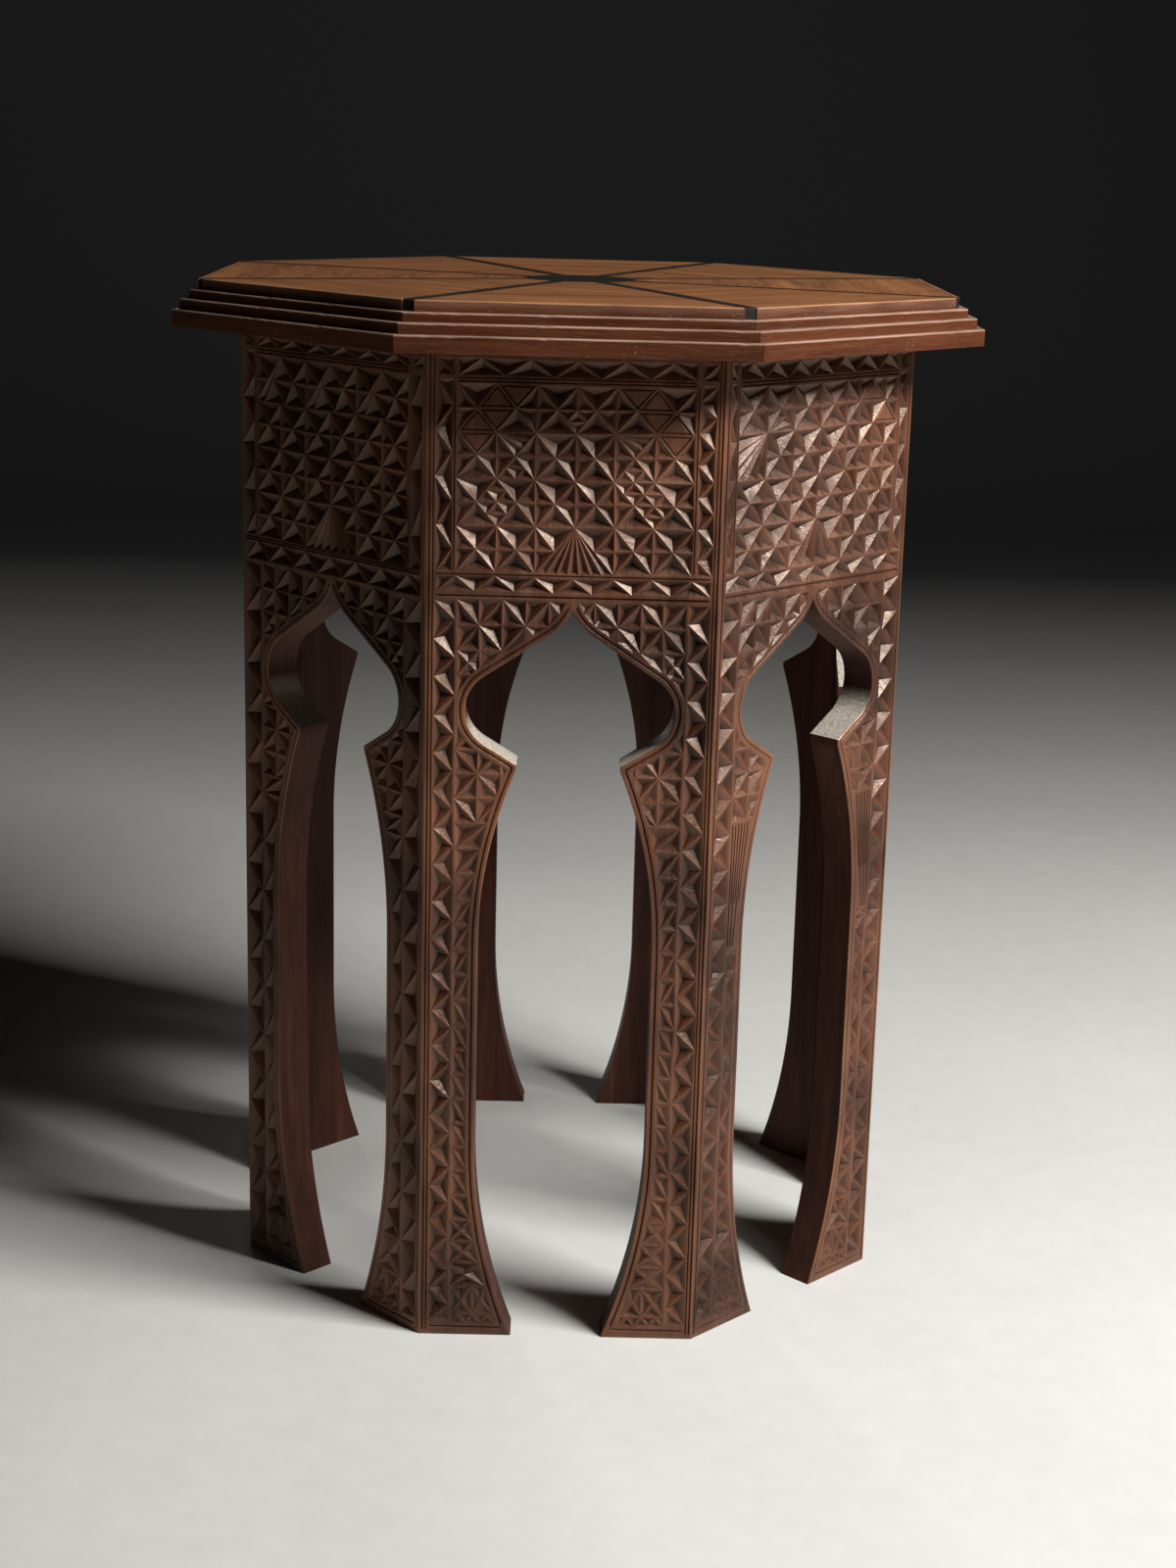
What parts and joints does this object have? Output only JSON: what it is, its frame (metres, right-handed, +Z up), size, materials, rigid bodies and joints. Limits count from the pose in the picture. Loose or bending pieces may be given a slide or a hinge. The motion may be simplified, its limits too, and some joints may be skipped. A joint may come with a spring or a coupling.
{
  "type": "side table",
  "caption": "Octagonal carved wooden side table: mitred side boards with ogee arches and curved legs under a stepped top of wedges divided by black strips.",
  "frame": {"origin": "on the floor, under the middle of the top", "axes": "+Z up; the front side board looks to -Y, +X is to its right seen from the front"},
  "size_m": [0.408, 0.408, 0.5303],
  "materials": {
    "carved_wood": "dark stained, waxed, chip carved",
    "moulding_wood": "stained, waxed, worn edges",
    "wedge_wood": "waxed, open pores",
    "black_wood": "ebonised",
    "block_wood": "sawn, unfinished",
    "core_wood": "planed, unfinished",
    "screw_steel": "dull, darkened"
  },
  "bodies": {
    "root": {"side_board_front": "carved_wood", "side_board_front_right": "carved_wood", "side_board_right": "carved_wood", "side_board_back_right": "carved_wood", "side_board_back": "carved_wood", "side_board_back_left": "carved_wood", "side_board_left": "carved_wood", "side_board_front_left": "carved_wood", "edge_moulding_front": "moulding_wood", "edge_moulding_front_right": "moulding_wood", "edge_moulding_right": "moulding_wood", "edge_moulding_back_right": "moulding_wood", "edge_moulding_back": "moulding_wood", "edge_moulding_back_left": "moulding_wood", "edge_moulding_left": "moulding_wood", "edge_moulding_front_left": "moulding_wood", "top_wedge_front": "wedge_wood", "top_wedge_front_right": "wedge_wood", "top_wedge_right": "wedge_wood", "top_wedge_back_right": "wedge_wood", "top_wedge_back": "wedge_wood", "top_wedge_back_left": "wedge_wood", "top_wedge_left": "wedge_wood", "top_wedge_front_left": "wedge_wood", "corner_block_1": "block_wood", "black_strip_1": "black_wood", "corner_block_2": "block_wood", "black_strip_2": "black_wood", "corner_block_3": "block_wood", "black_strip_3": "black_wood", "corner_block_4": "block_wood", "black_strip_4": "black_wood", "corner_block_5": "block_wood", "black_strip_5": "black_wood", "corner_block_6": "block_wood", "black_strip_6": "black_wood", "corner_block_7": "block_wood", "black_strip_7": "black_wood", "corner_block_8": "block_wood", "black_strip_8": "black_wood", "centre_disc": "black_wood", "core_board": "core_wood", "top_screws": "screw_steel"}
  },
  "joints": []
}
